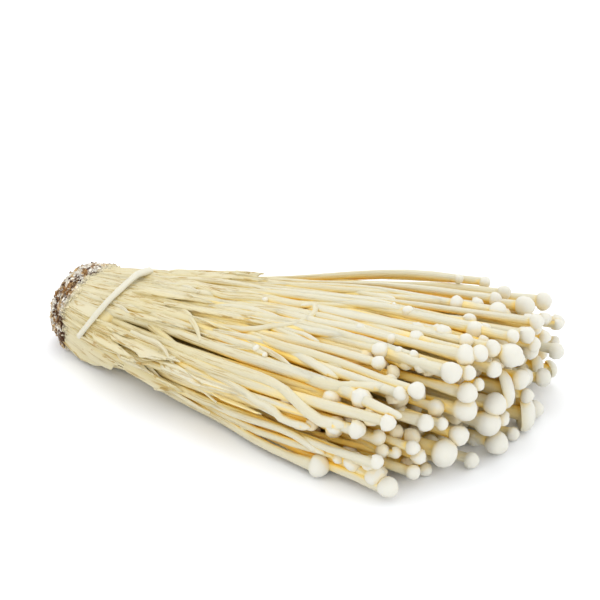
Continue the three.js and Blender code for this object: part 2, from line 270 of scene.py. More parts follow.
def place(rho, angle, run):
    """Points of the bunch from shares of its section and the run along its stems."""
    share = np.asarray(run, float) / STEM_RUN
    rho = rho * (1 - undercut(angle, run))
    turned = parted(angle, share)
    across = rho * np.cos(turned)
    rise = rho * np.sin(turned)
    middle, top, low = levels_at(share)
    lower = (middle - low) * rise * flattening(across, share)
    height = np.maximum(0, middle + np.where(rise > 0, (top - middle) * rise, lower))
    spread = spread_at(across, share)
    end = END_SLANT * (height - middle) / ROOT_MIDDLE + END_HOLLOW * (1 - across**2)
    ahead = np.sqrt(np.maximum(0, np.asarray(run, float) ** 2 - spread**2))
    x = ROOT_X + ahead + end * (1 - smooth(run, 0, 45))
    y = ROOT_HALF_WIDTH * across + spread
    return np.stack(np.broadcast_arrays(x, y, height), axis=-1)


def place_off(degrees, run, off):
    """A point at a height off the bunch's surface."""
    angle = math.radians(degrees)
    spot = place(1, angle, run)
    out = spot - place(0, angle, run)
    out[0] = 0
    return spot + unit(out) * off


def full_run(across):
    return STEM_RUN * (1 + (NEAR_SHORTENING if across < 0 else FAR_LENGTHENING) * across)


# Routes: each mushroom is where its middle line passes, and how thick it is.
def sway(points, share, turn, loose, swing, stray):
    """Moves a route's points across and up, as a loose stem sways."""
    points[..., 1] += loose * (swing[0] * np.sin(turn) + stray[0] * share)
    points[..., 2] += loose * (swing[1] * np.cos(turn) + stray[1] * share)
    return points


def shell_mushroom(shell, number):
    """One of the mushrooms that the solids have too."""
    rho, count, starts = shell
    draw = draws_of(SEED + number * 7919 + count * 104729)
    angle = 2 * math.pi * (number + 0.5 + blend(-0.22, 0.22, next(draw))) / count
    stagger = ((number + 1) * GOLDEN) % 1
    is_short = rho == 1 and number % 7 == 3 and math.sin(angle) > -0.4
    reach = blend(0.52, 0.8, stagger) if is_short else blend(0.85, 1, stagger)
    run = full_run(rho * math.cos(angle)) * reach
    stem = STEM_RADIUS * (blend(0.6, 0.8, next(draw)) if is_short else blend(0.85, 1.2, next(draw)))
    widest, low, high = (BUD_RADIUS, 0.8, 1.2) if is_short else (CAP_RADIUS, 0.75, 1.15)
    cap = widest * blend(low, high, next(draw))
    swing = (blend(0.9, 1.5, next(draw)), blend(0.5, 0.9, next(draw)))
    phase = 2 * angle + next(draw)
    stray = (blend(-1.6, 1.6, next(draw)), blend(-0.9, 1.2, next(draw)))
    tilt = (blend(-0.5, 0.5, next(draw)), blend(-0.4, 0.5, next(draw)))

    def route(t):
        along = blend(starts, run, t)
        share = along / run
        turn = 2 * math.pi * 1.15 * share + phase
        return sway(place(rho, angle, along), share, turn, smooth(share, 0.1, 0.8), swing, stray)

    return {"route": route, "stem": stem, "cap": cap, "tilt": tilt, "seed": number + 100 * count}


def filler_mushroom(shell, number, shorter):
    """One of the finer-packed mushrooms between those of the shells."""
    rho, count, starts = shell
    draw = draws_of(SEED * 3 + number * 6151 + int(rho * 1000) * 389)
    rho += blend(-0.04, 0.03 if rho < 1 else 0.005, next(draw))
    angle = 2 * math.pi * (number + blend(-0.45, 0.45, next(draw))) / count
    drift = blend(-0.14, 0.14, next(draw))
    is_short = next(draw) < 0.12 and rho > 0.85
    reach = blend(0.45, 0.82, next(draw)) if is_short else blend(0.84, 1, next(draw) ** 0.8)
    run = full_run(rho * math.cos(angle)) * (reach - shorter)
    stem = STEM_RADIUS * (blend(0.5, 0.7, next(draw)) if is_short else blend(0.68, 1.12, next(draw)))
    widest, low, high = (BUD_RADIUS, 0.5, 1) if is_short else (CAP_RADIUS, 0.66, 1.1)
    cap = widest * blend(low, high, next(draw))
    turns = blend(0.7, 1.7, next(draw))
    swing = (blend(0.8, 3.2, next(draw)), blend(0.3, 1.1, next(draw)))
    phase = 2 * math.pi * next(draw)
    stray = (blend(-3, 3, next(draw)), blend(-1.2, 1.2, next(draw)))
    tilt = (blend(-0.7, 0.7, next(draw)), blend(-0.5, 0.6, next(draw)))
    perch = 1.7 if is_short else 0

    def route(t):
        along = blend(starts, run, t)
        share = along / run
        raised = rho + perch / HEAD_RISE * smooth(share, 0.6, 1)
        points = place(raised, angle + drift * smooth(share, 0.2, 1), along)
        turn = 2 * math.pi * turns * share + phase
        points = sway(points, share, turn, smooth(share, 0.1, 0.9), swing, stray)
        points[..., 2] = np.minimum(points[..., 2], HEAD_TOP + 0.5)
        return points

    return {"route": route, "stem": stem, "cap": cap, "tilt": tilt, "seed": number + 977 * count}


def cap_middle(growth):
    """The middle of a mushroom's cap."""
    before, neck = growth["route"](np.array([0.98, 1.0]))
    return neck + unit(neck - before) * 0.7 * growth["cap"]


def clears(growth, others):
    """Whether a mushroom's cap keeps off the caps that are there."""
    middle = cap_middle(growth)
    return all(
        np.linalg.norm(middle - spot) > CAP_SPACING * (growth["cap"] + radius) for spot, radius in others
    )


def packed_mushrooms(heads):
    """The shells' and the finer mushrooms, each shortened until its cap clears the others."""
    caps = [(cap_middle(growth), growth["cap"]) for growth in heads]
    packed = [shell_mushroom(shell, n) for shell in SHELLS for n in range(shell[1])]
    packed = [growth for growth in packed if clears(growth, caps)]
    caps += [(cap_middle(growth), growth["cap"]) for growth in packed]
    for shell in FILLERS:
        for number in range(shell[1]):
            for attempt in range(TRIES):
                growth = filler_mushroom(shell, number, attempt * SHORTER)
                if clears(growth, caps):
                    packed.append(growth)
                    caps.append((cap_middle(growth), growth["cap"]))
                    break
    return packed


def eased_line(points):
    """A smooth line through points, by chord-length Catmull-Rom, as a function of 0 to 1."""
    points = np.array(points, float)
    steps = np.linalg.norm(np.diff(points, axis=0), axis=1) ** 0.5
    knots = np.concatenate([[0], np.cumsum(steps)])
    slopes = np.gradient(points, knots, axis=0)

    def line(t):
        t = np.atleast_1d(t)
        at = t * knots[-1]
        i = np.clip(np.searchsorted(knots, at, side="right") - 1, 0, len(knots) - 2)
        span = (knots[i + 1] - knots[i])[:, None]
        s = ((at - knots[i])[:, None]) / span
        near = (1 + 2 * s) * (1 - s) ** 2 * points[i] + s * (1 - s) ** 2 * span * slopes[i]
        far = s**2 * (3 - 2 * s) * points[i + 1] + s**2 * (s - 1) * span * slopes[i + 1]
        return near + far

    return line


def torn_mushroom(number):
    """A stem torn off short that lies on the bunch."""
    radius, marks = TORN_STEMS[number]
    points = [place_off(marks[0][0], 1, -1.2)] + [place_off(*mark) for mark in marks]
    return {"route": eased_line(points), "stem": radius, "cap": 0, "tilt": (0, 0), "seed": 5000 + number}


def section_place(x, y, z):
    """Which rho, angle and run a point of the bunch has."""
    run = math.hypot(x - ROOT_X, y)
    share = run / STEM_RUN
    middle, top, low = levels_at(share)
    side = 1 if y >= 0 else -1
    across = 0.97 * y / (ROOT_HALF_WIDTH + abs(float(spread_at(side, share))))
    above = z > middle
    deep = (middle - low) * flattening(across, share)
    rise = (z - middle) / (top - middle if above else deep)
    return min(1, math.hypot(across, rise)), math.atan2(rise, across), run


def headed_mushroom(number):
    """A mushroom that grows along the bunch and ends with its cap in its own place."""
    x, y, z, cap, shape = HEADS[number]
    cap *= CAP_FULLNESS
    rho, angle, run = section_place(x, y, z)
    pull = np.array([x - 0.6 * cap, y, z]) - place(rho, angle, run)
    draw = draws_of(SEED * 7 + number * 4409)
    swing = (blend(-2.4, 2.4, next(draw)), blend(-1, 1, next(draw)))
    lean = LEANS.get(shape, (0, 0))
    tilt = (lean[0] + blend(-0.3, 0.3, next(draw)), lean[1] + blend(-0.2, 0.3, next(draw)))
    turns = blend(0.8, 1.8, next(draw))

    def route(t):
        t = np.atleast_1d(t)
        points = place(rho, angle, np.maximum(1, t * run))
        points += pull * smooth(t, 0.3, 1)[:, None]
        wave = np.sin(2 * np.pi * turns * smooth(t, 0.15, 1)) * (1 - smooth(t, 0.75, 1))
        points[:, 1] += swing[0] * wave
        points[:, 2] += swing[1] * wave
        return points

    stem = blend(1.05, 1.6, cap / 4)
    return {"route": route, "stem": stem, "cap": cap, "tilt": tilt, "seed": 7000 + number, "shape": shape}


# Mesh making.
def start_primitive(name, add, **options):
    """Adds a primitive with nothing else selected, and names it."""
    if bpy.context.object and bpy.context.object.mode != "OBJECT":
        bpy.ops.object.mode_set(mode="OBJECT")
    bpy.ops.object.select_all(action="DESELECT")
    add(**options)
    piece = bpy.context.object
    piece.name = name
    piece.data.name = name
    return piece


def start_strip(name, long, wide):
    """A flat unit grid, to be shaped into a strip."""
    add = bpy.ops.mesh.primitive_grid_add
    return start_primitive(name, add, x_subdivisions=long, y_subdivisions=wide, size=1)


def raise_from_circle(name, sides, outline):
    """Extrudes a circle up through (radius, height) pairs, and closes both ends."""
    radius, height = outline[0]
    add = bpy.ops.mesh.primitive_circle_add
    spot = (0, 0, height)
    piece = start_primitive(name, add, vertices=sides, radius=radius, fill_type="TRIFAN", location=spot)
    bpy.ops.object.mode_set(mode="EDIT")
    bpy.ops.mesh.select_all(action="SELECT")
    for next_radius, next_height in outline[1:]:
        rise = (0, 0, next_height - height)
        grow = next_radius / radius
        bpy.ops.mesh.extrude_region_move(TRANSFORM_OT_translate={"value": rise})
        bpy.ops.transform.resize(value=(grow, grow, 1), center_override=(0, 0, next_height))
        radius, height = next_radius, next_height
    bpy.ops.mesh.select_all(action="SELECT")
    bpy.ops.mesh.normals_make_consistent(inside=False)
    bpy.ops.object.mode_set(mode="OBJECT")
    bpy.ops.object.transform_apply(location=True, rotation=True, scale=True)
    return piece


def tube_outline(steps):
    return [(1, step / steps) for step in range(steps + 1)]


def mushroom_outline(steps, end):
    """Rings of a straight mushroom: unit stem, then its cap or torn tip set above 1."""
    return tube_outline(steps)[:-1] + [(1, 0.985), (1, 1)] + [(radius, 1 + height) for radius, height in end]


def vertices_of(piece, kind="co"):
    """The places of a piece's vertices, or with "normal" their normals."""
    values = np.empty(len(piece.data.vertices) * 3)
    piece.data.vertices.foreach_get(kind, values)
    return values.reshape(-1, 3)


def set_vertices(piece, points):
    piece.data.vertices.foreach_set("co", np.asarray(points, float).ravel())
    piece.data.update()


def set_values(piece, name, values):
    """Keeps one number, or one vector, for each vertex of the piece."""
    values = np.asarray(values, float)
    kind = "FLOAT_VECTOR" if values.ndim == 2 else "FLOAT"
    kept = piece.data.attributes.get(name) or piece.data.attributes.new(name, kind, "POINT")
    kept.data.foreach_set("vector" if values.ndim == 2 else "value", values.ravel())


def outward_from(points):
    """Away from the bunch's middle line, square to its length."""
    middle = place(np.zeros(len(points)), 0, np.clip(points[:, 0] - ROOT_X, 0, STEM_RUN))
    away = points - middle
    away[:, 0] = 0
    return unit(away)


def straight_caps(straight):
    """Which vertices of a straight mushroom are its cap's, an open cap's low rim among them."""
    reach = np.hypot(straight[:, 0], straight[:, 1])
    height = straight[:, 2]
    return (height > 1.001) | ((height > 0.88) & (np.abs(reach - 1) > 0.01))


def paleness_at(run):
    """How far the flesh has paled from the root's tone, by the run."""
    return smooth(run, 30, 135) * 0.75


def stem_width(growth, share):
    """The stem's radius along its length: slender at the root, a little uneven, eased into the cap."""
    seed = growth["seed"]
    uneven = 1 + 0.07 * np.sin(8 * share + seed) + 0.04 * np.sin(19 * share + 2 * seed)
    width = growth["stem"] * blend(0.75, 1, smooth(share, 0, 0.4)) * uneven
    neck = 0.62 * growth["cap"] if growth["cap"] else growth["stem"]
    return blend(width, np.clip(neck, 0.9 * width, 1.35 * width), smooth(share, 0.93, 1))


def bend_mushroom(model, growth):
    """Copies the straight mushroom and bends the copy along its route."""
    copy = model.copy()
    copy.data = model.data.copy()
    bpy.context.collection.objects.link(copy)
    straight = vertices_of(copy)
    height = straight[:, 2]
    is_cap = straight_caps(straight)
    share = np.where(is_cap, 1, np.minimum(height, 1))
    skew = 0 if growth["cap"] else 0.9
    past = np.where(is_cap, height - 1 + skew * straight[:, 0], 0)
    stem, cap = growth["stem"], growth["cap"] or growth["stem"]
    floor = blend(stem * 0.9, max(cap, stem), smooth(share, 0.8, 1)) + TABLE_CLEARANCE

    def held(t):
        points = growth["route"](t)
        points[:, 2] = np.maximum(points[:, 2], floor)
        return points

    centre = held(share)
    forward = unit(held(np.minimum(share + 0.01, 1)) - held(np.maximum(share - 0.01, 0)))
    leaning = unit(forward + np.array([0, *growth["tilt"]]))
    forward = np.where(is_cap[:, None], leaning, forward)
    side = unit(np.cross(np.array([0, 0, 1.0]), forward))
    upward = np.cross(forward, side)
    run = np.clip(centre[:, 0] - ROOT_X, 0, STEM_RUN)
    thickness = np.where(is_cap, cap, stem_width(growth, share))
    across = side * straight[:, :1] + upward * straight[:, 1:2]
    across *= thickness[:, None]
    outward = outward_from(centre)
    ribbon = blend(0.55, 1, (growth["seed"] * GOLDEN * 3) % 1)
    flat = blend(0.5, ribbon, smooth(run, 20, 75))
    flat = blend(flat, 1, smooth(share, 0.75, 0.95))
    depth = np.sum(across * outward, axis=1)
    across -= outward * (depth * np.where(is_cap, 0, 1 - flat))[:, None]
    across *= np.where(is_cap, 1, blend(1.45, 1, flat))[:, None]
    turn = np.arctan2(straight[:, 1], straight[:, 0])
    dent = 1 + CAP_DENT * np.sin(3 * turn + growth["seed"]) * is_cap
    points = centre + forward * (past * cap)[:, None] + across * dent[:, None]
    points[:, 2] = np.maximum(points[:, 2], TABLE_CLEARANCE / 2)
    set_vertices(copy, points)
    around = straight[:, :2] * stem
    grain = np.column_stack([around + growth["seed"] * 7.3, run * GRAIN_STRETCH])
    set_values(copy, "grain", grain)
    set_values(copy, "strand", np.full(len(points), (growth["seed"] * GOLDEN) % 1))
    set_values(copy, "paleness", np.maximum(paleness_at(run), is_cap * 1.0))
    capped = is_cap * smooth(height, 0.95, 1.5) if growth["cap"] else smooth(share, 0.9, 1) * 0.3
    set_values(copy, "capped", capped)
    return copy


def select_only(piece):
    bpy.ops.object.select_all(action="DESELECT")
    piece.select_set(True)
    bpy.context.view_layer.objects.active = piece


def join_pieces(name, pieces):
    bpy.ops.object.select_all(action="DESELECT")
    for piece in pieces:
        piece.select_set(True)
    bpy.context.view_layer.objects.active = pieces[0]
    bpy.ops.object.join()
    joined = bpy.context.object
    joined.name = name
    joined.data.name = name
    return joined


def remove_piece(piece):
    bpy.data.objects.remove(piece, do_unlink=True)


def straight_models(sides, steps, shapes):
    """One straight mushroom for each cap shape, and one torn stem."""
    models = {
        name: raise_from_circle("straight_" + name, sides, mushroom_outline(steps, outline))
        for name, outline in shapes.items()
    }
    models["torn"] = raise_from_circle("straight_torn", sides, mushroom_outline(steps, TORN_TIP))
    return models


def grow_mushrooms():
    """All the mushrooms of the bunch, as one piece."""
    fine = straight_models(FINE_SIDES, FINE_STEPS, {"bead": BEAD, "egg": EGG, "open": OPEN, "flat": FLAT})
    plain = straight_models(PLAIN_SIDES, PLAIN_STEPS, {"plain": PLAIN})
    heads = [headed_mushroom(n) for n in range(len(HEADS))]
    grown = [bend_mushroom(plain["plain"], growth) for growth in packed_mushrooms(heads)]
    grown += [bend_mushroom(fine[growth["shape"]], growth) for growth in heads]
    for growth in [torn_mushroom(n) for n in range(len(TORN_STEMS))]:
        grown.append(bend_mushroom(fine["torn"], growth))
    for model in [*fine.values(), *plain.values()]:
        remove_piece(model)
    return join_pieces("mushrooms", grown)


# The fused skin of the root: strands that have grown together, with ribs and splits.
def streaks(around, run, fineness, stretch, offset=0.0):
    """Noise drawn out along the stems, by angle round the bunch and run."""
    columns = (np.cos(around) * fineness + offset, np.sin(around) * fineness, run * stretch)
    return np.array([noise.noise(spot) for spot in zip(*columns)])


def skin_relief(around, run):
    """How far the fused skin stands out, in millimetres."""
    grown = smooth(run, 0, 40)
    strands = streaks(around, run, 5.5, 0.014) * blend(0.6, 1.7, grown)
    ribs = streaks(around, run, 12, 0.022, 9) * blend(0.7, 1.2, grown)
    fibres = streaks(around, run, 24, 0.035, 21) * 0.45
    split = 1 - smooth(np.abs(streaks(around, run, 6.5, 0.01, 33)), 0, 0.06)
    opened = smooth(streaks(around, run, 4, 0.03, 41), -0.25, 0.15) * smooth(run, 4, 26)
    return strands + ribs + fibres - 2 * split * opened


def crevice_depth(around, run):
    """How deep the two crevices cut into the section, as a share of it."""
    start = CREVICE + 0.09 * (1 - smooth(run, 22, 40))
    off = turned_from(start, around)
    narrow = blend(CREVICE_NARROW, CREVICE_WIDE, smooth(run, 30, 80))
    main = CREVICE_DEPTH * smooth(run, 20, 34) * blend(1, 0.6, smooth(run, 50, 80))
    main = main * np.exp(-((off / narrow) ** 2))
    middle = UPPER_CREVICE - 0.1 * (run - 24) / 41
    away = turned_from(middle, around)
    upper = UPPER_CREVICE_DEPTH * smooth(run, 12, 24) * (1 - smooth(run, 60, 80))
    upper = upper * np.exp(-((away / CREVICE_NARROW) ** 2))
    return np.maximum(main, upper)


MASS_SIDES = 300
MASS_STEPS = 84
MASS_RUN = 104
CORE_RHO = 0.4
SKIN_RHO = 1.055
SKIN_CLEARANCE = 0.05
SECTION_RADIUS = 14


def place_skin(around, run, height):
    """A point of the fused skin, at a height off it in millimetres."""
    swell = (height + skin_relief(around, run)) / SECTION_RADIUS
    return place((SKIN_RHO + swell) * (1 - crevice_depth(around, run)), around, run)


def set_skin_values(piece, around, run, seed):
    grain = np.column_stack([np.cos(around) * 20 + seed, np.sin(around) * 20, run * GRAIN_STRETCH])
    set_values(piece, "grain", grain)
    set_values(piece, "strand", 0.5 + 0.9 * streaks(around, run, 8, 0.02, 3 + seed))
    set_values(piece, "paleness", paleness_at(run))
    set_values(piece, "capped", np.zeros(len(around)))


def grow_root_mass():
    piece = raise_from_circle("root_mass", MASS_SIDES, tube_outline(MASS_STEPS))
    straight = vertices_of(piece)
    share = straight[:, 2]
    reach = np.hypot(straight[:, 0], straight[:, 1])
    around = np.arctan2(straight[:, 1], straight[:, 0])
    run = share * MASS_RUN
    ragged = 16 * streaks(around, run * 0, 4, 0.02, 5)
    sunk = 1.4 * smooth(run + ragged, 26, 56) + 5.5 * smooth(run + ragged, 50, 100)
    points = place_skin(around, run, -sunk)
    inner = place(CORE_RHO, around, run)
    points = blend(inner, points, smooth(reach, 0, 0.99)[:, None])
    points[:, 2] = np.maximum(points[:, 2], SKIN_CLEARANCE)
    set_vertices(piece, points)
    set_skin_values(piece, around, run, 0)
    return piece


# Torn flaps of the fused skin: angle, span, starting run, torn end's run, lift and curl.
FLAPS = [
    (156, 16, 30, 67, 0.9, 0.7), (181, 13, 36, 70, 0.4, 0.3), (170, 9, 22, 56, 0.5, 0.3),
    (129, 8, 36, 86, 0.6, 0.4), (112, 9, 26, 66, 0.5, 0.4), (94, 10, 36, 86, 0.4, 0.2),
    (74, 9, 28, 72, 0.5, 0.4), (54, 10, 22, 62, 0.4, 0.2), (32, 10, 32, 78, 0.2, 0.1),
    (10, 10, 26, 68, 0.2, 0.1), (198, 6, 44, 84, 0.1, 0), (139, 6, 32, 92, 0.4, 0.3),
    (120, 6, 42, 98, 0.5, 0.4), (164, 6, 46, 96, 0.5, 0.4), (191, 6, 50, 98, 0.2, 0.1),
    (104, 6, 54, 104, 0.5, 0.3), (85, 6, 48, 100, 0.2, 0.1), (175, 5, 54, 104, 0.5, 0.4),
    (66, 6, 56, 104, 0.3, 0.2), (42, 6, 60, 106, 0.2, 0.1), (22, 6, 54, 100, 0.1, 0),
    (151, 5, 20, 50, 0.3, 0.2), (134, 5, 14, 44, 0.2, 0.1),
]
FLAP_LONG = 44
FLAP_WIDE = 18
FLAP_THICKNESS = 0.55
FLAP_CLEARANCE = 0.35


def grow_flap(number):
    """One torn flap: sunk into the skin at its start, round-ended and lifted at its torn end."""
    degrees, span, start, end, lift, curl = FLAPS[number]
    piece = start_strip("flap", FLAP_LONG, FLAP_WIDE)
    flat = vertices_of(piece)
    u = flat[:, 0] + 0.5
    v = flat[:, 1] * 2
    ragged = np.array([noise.noise((3.1 * w, number * 3.7, 0)) for w in v])
    fine = np.array([noise.noise((9 * w, number * 5.3, 4)) for w in v])
    reach = 1 - 0.24 * np.abs(v) ** 2.5 + 0.1 * ragged + 0.03 * fine
    run = start + u * (end - start) * reach
    taper = blend(1, 0.62, smooth(u, 0.3, 1)) * np.sqrt(np.clip(1 - (1.02 * u) ** 9, 0.06, 1))
    lean = 0.05 * math.sin(2.4 * number) * smooth(u, 0.2, 1)
    around = math.radians(degrees) + v * math.radians(span / 2) * taper + lean
    edge = 0.8 * smooth(np.abs(v), 0.8, 1) * (1 - smooth(u, 0.5, 0.95))
    rise = 0.55 - 1.7 * (1 - smooth(u, 0, 0.25)) - edge
    height = rise + lift * smooth(u, 0.45, 1) ** 1.5 + curl * v**2 * smooth(u, 0.3, 0.9)
    points = place_skin(around, run, height - 1.1 * smooth(run, 40, 90))
    points[:, 2] = np.maximum(points[:, 2], FLAP_CLEARANCE)
    set_vertices(piece, points)
    set_skin_values(piece, around, run, number + 1)
    thicken(piece, FLAP_THICKNESS)
    return piece


def thicken(piece, thickness):
    """Gives a flat strip its thickness."""
    solidify = piece.modifiers.new("thickness", "SOLIDIFY")
    solidify.thickness = thickness
    solidify.offset = 0
    select_only(piece)
    bpy.ops.object.modifier_apply(modifier=solidify.name)
    bpy.ops.object.mode_set(mode="EDIT")
    bpy.ops.mesh.select_all(action="SELECT")
    bpy.ops.mesh.normals_make_consistent(inside=False)
    bpy.ops.object.mode_set(mode="OBJECT")


def grow_flaps():
    return join_pieces("torn_flaps", [grow_flap(number) for number in range(len(FLAPS))])


# Curled peels that stand off the surface: marks of angle, run and height, width and curl.
PEELS = [
    ([
        (128, 50, -0.8), (124, 55, 0.3), (126, 58, 0.8), (130, 62, 1), (137, 67, 0.8), (146, 71, 0.2),
    ], 2.2, 0.5),
    ([
        (148, 42, -0.6), (147, 51, 0.4), (147, 56, 0.9), (150, 60, 1.1), (156, 63, 1), (162, 66, 0.4),
    ], 1.7, 0.4),
    ([(196, 33, -0.3), (202, 55, 0.2), (207, 75, 0.3), (211, 88, 0.5)], 1, 0.2),
    ([(206, 23, -0.2), (212, 37, 0.4), (217, 49, 1.2)], 0.8, 0.2),
    ([(166, 36, -0.7), (170, 44, 0), (176, 53, 0.4), (181, 60, 0.6), (185, 65, 0.6)], 1.6, 0.4),
    ([(192, 16, -0.3), (199, 34, 0.5), (205, 52, 0.9), (212, 70, 0.9)], 0.7, 0.15),
    ([(196, 14, -0.3), (206, 22, 0.6), (214, 29, 1.2)], 0.6, 0.15),
    ([(188, 30, -0.3), (196, 44, 0.4), (203, 56, 0.6), (207, 67, 0.4)], 0.9, 0.2),
    ([(136, 28, -0.5), (137, 33, 0.3), (140, 37, 0.5)], 1, 0.2),
    ([(188, 51, -0.2), (192, 66, 0.5), (195, 76, 0.9), (194, 82, 1.2)], 1.5, 0.4),
    ([(118, 63, -0.2), (115, 79, 0.5), (112, 89, 0.7)], 1.5, 0.4),
    ([(96, 33, -0.2), (98, 47, 0.4), (103, 55, 0.6)], 1.5, 0.4),
    ([(60, 43, -0.2), (55, 61, 0.8), (46, 71, 1.4), (38, 75, 1.6)], 1.6, 0.4),
    ([(20, 39, -0.2), (16, 59, 0.7), (8, 69, 1.2)], 1.6, 0.4),
    ([(136, 87, -0.6), (139, 101, 0.6), (143, 109, 0.9)], 1.6, 0.3),
    ([(168, 60, -0.3), (173, 76, 0.5), (180, 86, 0.8)], 1.3, 0.3),
    ([(107, 76, -0.4), (105, 92, 0.5), (108, 104, 0.9)], 1.3, 0.3),
]
PEEL_LONG = 18
PEEL_WIDE = 4
PEEL_THICKNESS = 0.4
PEEL_CLEARANCE = 0.4
PEEL_LIFT = 1.3


def grow_peel(number):
    marks, width, curl = PEELS[number]
    points = [place_off(degrees, run, PEEL_LIFT + off) for degrees, run, off in marks]
    piece = start_strip("peel", PEEL_LONG, PEEL_WIDE)
    flat = vertices_of(piece)
    u = flat[:, 0] + 0.5
    v = flat[:, 1]
    line = eased_line(points)
    centre = line(u)
    forward = unit(line(np.minimum(u + 0.02, 1)) - line(np.maximum(u - 0.02, 0)))
    outward = outward_from(centre)
    side = unit(np.cross(outward, forward))
    normal = np.cross(forward, side)
    wide = width * blend(1, 0.35, smooth(u, 0.5, 1)) * (1 + 0.12 * np.sin(17 * u + number))
    shaped = centre + side * (v * wide)[:, None] - normal * (curl * (2 * v) ** 2)[:, None]
    shaped[:, 2] = np.maximum(shaped[:, 2], PEEL_CLEARANCE)
    set_vertices(piece, shaped)
    run = centre[:, 0] - ROOT_X
    set_values(piece, "grain", np.column_stack([v * wide + 9 * number, v * 0, run * GRAIN_STRETCH]))
    set_values(piece, "strand", np.full(len(u), (number * GOLDEN) % 1))
    set_values(piece, "paleness", blend(0.2, 0.6, u))
    set_values(piece, "capped", np.zeros(len(u)))
    thicken(piece, PEEL_THICKNESS)
    return piece


def grow_peels():
    return join_pieces("curled_peels", [grow_peel(number) for number in range(len(PEELS))])


# The loose stem across the base.
ACROSS_RADIUS = 1.25
ACROSS_CLEARANCE = 1.4
ACROSS_MARKS = [
    (86, 28), (96, 26), (107, 26), (119, 26), (130, 25.5), (141, 25), (154, 23), (167, 21), (180, 18),
]
ACROSS_STEPS = 40
ACROSS_SIDES = 12
ACROSS_FLATNESS = 0.6


def across_line():
    """Where the loose stem passes: over the top, and down the near side towards the base."""
    off = ACROSS_RADIUS + ACROSS_CLEARANCE
    return eased_line([place_off(degrees, run, off) for degrees, run in ACROSS_MARKS])


def grow_across():
    line = across_line()
    piece = raise_from_circle("stem_across", ACROSS_SIDES, tube_outline(ACROSS_STEPS))
    straight = vertices_of(piece)
    t = straight[:, 2]
    centre = line(t)
    forward = unit(line(np.minimum(t + 0.01, 1)) - line(np.maximum(t - 0.01, 0)))
    outward = outward_from(centre)
    side = unit(np.cross(outward, forward))
    upward = np.cross(forward, side) * ACROSS_FLATNESS
    radius = ACROSS_RADIUS * (1 + 0.07 * np.sin(8 * t) + 0.04 * np.sin(21 * t))
    radius = radius * blend(1.5, 1, smooth(t, 0, 0.25)) * blend(1, 0.7, smooth(t, 0.5, 1))
    bent = centre + (side * straight[:, :1] + upward * straight[:, 1:2]) * radius[:, None]
    set_vertices(piece, bent)
    set_values(piece, "grain", np.column_stack([straight[:, :2] * 1.2 + 3, t * 2.2]))
    set_values(piece, "strand", np.full(len(t), 0.6))
    set_values(piece, "paleness", np.full(len(t), 1.0))
    set_values(piece, "capped", np.full(len(t), 0.25))
    return piece


# The crust over the cut base: a lumpy cup that wraps the rim. Runs below 0 are behind the cut.
CRUST_SIDES = 170
CRUST_RINGS = 60
CRUST_CLEARANCE = 0.02
CRUST_FACE = [(0.03, -6.8), (0.3, -7), (0.55, -6.9), (0.75, -6.3), (0.9, -5.2), (1.02, -3.2)]
CRUST_RIM = [(1.1, -0.8), (1.14, 1), (1.15, 3.2), (1.135, 5.2), (1.1, 7), (0.98, 7.8)]


def crust_profile():
    """The cup's outline, filled in to fine rings, from its middle round the rim to its inner edge."""
    line = eased_line([(rho, run, 0) for rho, run in CRUST_FACE + CRUST_RIM])
    return line(np.linspace(0, 1, CRUST_RINGS))[:, :2]


def crust_lumps(points):
    """How far each point of the crust stands out, by cells and pits, in millimetres."""
    lumps = []
    for point in points:
        spot = Vector(point)
        near = noise.voronoi(spot * 0.6)[0]
        cell = near[1] - near[0]
        broad = noise.noise(spot * 0.2)
        fine = noise.noise(spot * 1.5)
        lumps.append(1.3 * broad + 1.3 * min(cell, 0.8) - 0.6 + 0.7 * fine)
    return np.array(lumps)


def grow_crust():
    profile = crust_profile()
    outline = [(max(rho, 0.04), ring / 10) for ring, (rho, run) in enumerate(profile)]
    piece = raise_from_circle("crust", CRUST_SIDES, outline)
    straight = vertices_of(piece)
    ring = np.rint(straight[:, 2] * 10).astype(int)
    around = np.arctan2(straight[:, 1], straight[:, 0])
    centred = np.hypot(straight[:, 0], straight[:, 1]) < 1e-4
    rho = np.where(centred, 0, profile[ring, 0])
    run = profile[ring, 1]
    ragged = 2.6 * streaks(around, around * 0 + 5, 2.4, 1)
    frayed = 2.2 * streaks(around, around * 0 + 2, 10, 1)
    reached = np.maximum(run, 0) + smooth(run, 0, 7) * (ragged + frayed)
    points = place(rho, around, np.maximum(reached, 0))
    points[:, 0] += np.minimum(run, 0)
    outward = outward_from(points)
    facing = smooth(rho, 0.8, 1.08)[:, None]
    push = unit(outward * facing + np.array([-1.0, 0, 0]) * (1 - facing))
    lumps = crust_lumps(points) * np.where(ring > len(profile) - 5, 0.25, 1)
    points += push * lumps[:, None]
    points[:, 2] = np.maximum(points[:, 2], CRUST_CLEARANCE)
    set_vertices(piece, points)
    set_values(piece, "lump", lumps)
    set_values(piece, "rim", smooth(run, -1.5, 8))
    return piece


# Openness: how much of the sky each point of the pieces sees past its neighbours; the flesh colour paints
# shade and glow into the gaps by it.
def feeler_directions():
    count = FEELERS
    steps = np.arange(count) + 0.5
    height = 1 - steps / count
    turn = 2 * math.pi * GOLDEN * steps
    level = np.sqrt(1 - height**2)
    return np.column_stack([np.cos(turn) * level, np.sin(turn) * level, height])


